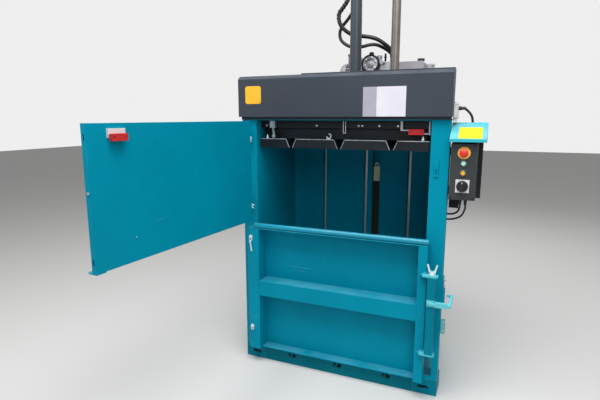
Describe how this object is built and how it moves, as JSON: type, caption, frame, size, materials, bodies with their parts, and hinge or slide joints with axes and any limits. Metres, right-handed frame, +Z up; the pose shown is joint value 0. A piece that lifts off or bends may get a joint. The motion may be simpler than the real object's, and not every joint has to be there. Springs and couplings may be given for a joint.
{
  "type": "recycling baler",
  "caption": "Upright hydraulic baler for recycling: folded steel frame, swinging upper door and bale door with a lock bar, strapped press plate on a cylinder, power pack and control box.",
  "frame": {"origin": "on the floor, at the centre of the footprint of the frame without its doors and controls", "axes": "+Z up, +Y from the front to the back of the machine, +X to the right seen from the front"},
  "size_m": [1.42, 1.9541, 2.5],
  "materials": {
    "teal_paint": "satin powder coat",
    "slate_paint": "matt powder coat",
    "charcoal_paint": "satin, scuffed",
    "black_paint": "matt",
    "barrel_paint": "satin",
    "tank_paint": "satin",
    "box_paint": "matt",
    "white_paint": "satin",
    "zinc": "zinc plated",
    "tube_steel": "drawn tube",
    "rod_chrome": "hard chrome",
    "block_aluminium": "cast and milled",
    "black_plastic": "moulded",
    "hose_rubber": "spiral wrapped",
    "red_plastic": "moulded",
    "stop_yellow": "moulded",
    "stop_red": "moulded",
    "start_green": "moulded",
    "return_amber": "moulded",
    "switch_white": "moulded",
    "webbing": "woven"
  },
  "bodies": {
    "frame": {"base_frame": "teal_paint", "base_feet": "teal_paint", "front_sill": "teal_paint", "floor_plate": "teal_paint", "left_side": "teal_paint", "right_side": "teal_paint", "corner_plates": "teal_paint", "back_wall": "teal_paint", "rear_ribs": "teal_paint", "strap_channels": "teal_paint", "strap_guides": "zinc", "top_frame": "teal_paint", "header_cover": "slate_paint", "top_baffle": "black_paint", "cylinder_barrel": "barrel_paint", "cylinder_ends": "barrel_paint", "guide_bush": "zinc", "pack_tray": "slate_paint", "pack_guard": "slate_paint", "power_motor": "tank_paint", "pump_block": "block_aluminium", "valve_coils": "black_paint", "oil_tank": "tank_paint", "tank_cap": "black_plastic", "hoses": "hose_rubber", "hose_fittings": "zinc", "door_switch": "red_plastic", "switch_bracket": "zinc", "limit_switch": "zinc", "control_hood": "teal_paint", "control_mount": "charcoal_paint", "control_box": "box_paint", "estop_collar": "stop_yellow", "button_bezels": "zinc", "switch_plate": "switch_white", "control_cables": "hose_rubber", "cable_glands": "black_plastic", "strap_axle": "zinc", "post_brackets": "teal_paint", "frame_bolts": "zinc", "ejector_belt": "webbing"},
    "upper_door": {"upper_door": "teal_paint", "upper_door_hardware": "zinc", "actuator_bracket": "white_paint", "door_actuator": "red_plastic"},
    "bale_door": {"bale_door": "teal_paint", "door_top_bar": "teal_paint", "bale_hinge_pins": "zinc"},
    "lock": {"lock_bar": "teal_paint", "lock_wing_nut": "zinc"},
    "press": {"press_plate": "charcoal_paint", "press_beams": "charcoal_paint", "piston_rod": "rod_chrome", "guide_tube": "tube_steel", "plate_fittings": "zinc"},
    "ejector": {"ejector_arm": "teal_paint"},
    "estop": {"estop_button": "stop_red"},
    "start": {"start_button": "start_green"},
    "return": {"return_button": "return_amber"},
    "knob": {"switch_knob": "black_plastic"}
  },
  "joints": [
    {"name": "upper_door_hinge", "type": "hinge", "parent": "frame", "child": "upper_door", "pos_m": [-0.536, -0.381, 1.196], "axis": [0, 0, 1], "range_deg": [-75, 94.7]},
    {"name": "bale_door_hinge", "type": "hinge", "parent": "frame", "child": "bale_door", "pos_m": [-0.526, -0.384, 0.53], "axis": [0, 0, 1], "range_deg": [-110, 0]},
    {"name": "lock_pivot", "type": "hinge", "parent": "bale_door", "child": "lock", "pos_m": [0.547, -0.435, 0.5], "axis": [0, 0, 1], "range_deg": [-100, 7]},
    {"name": "press_stroke", "type": "slide", "parent": "frame", "child": "press", "axis": [0, 0, -1], "range_m": [0, 0.85]},
    {"name": "ejector_tip", "type": "hinge", "parent": "frame", "child": "ejector", "pos_m": [0.072, -0.286, 0.11], "axis": [1, 0, 0], "range_deg": [0, 40]},
    {"name": "stop_push", "type": "slide", "parent": "frame", "child": "estop", "axis": [0, 1, 0], "range_m": [0, 0.005], "stiffness_N_per_m": 800},
    {"name": "start_push", "type": "slide", "parent": "frame", "child": "start", "axis": [0, 1, 0], "range_m": [0, 0.004], "stiffness_N_per_m": 400},
    {"name": "return_push", "type": "slide", "parent": "frame", "child": "return", "axis": [0, 1, 0], "range_m": [0, 0.004], "stiffness_N_per_m": 400},
    {"name": "switch_turn", "type": "hinge", "parent": "frame", "child": "knob", "pos_m": [0.661, -0.374, 1.176], "axis": [0, 1, 0], "range_deg": [0, 90]}
  ]
}
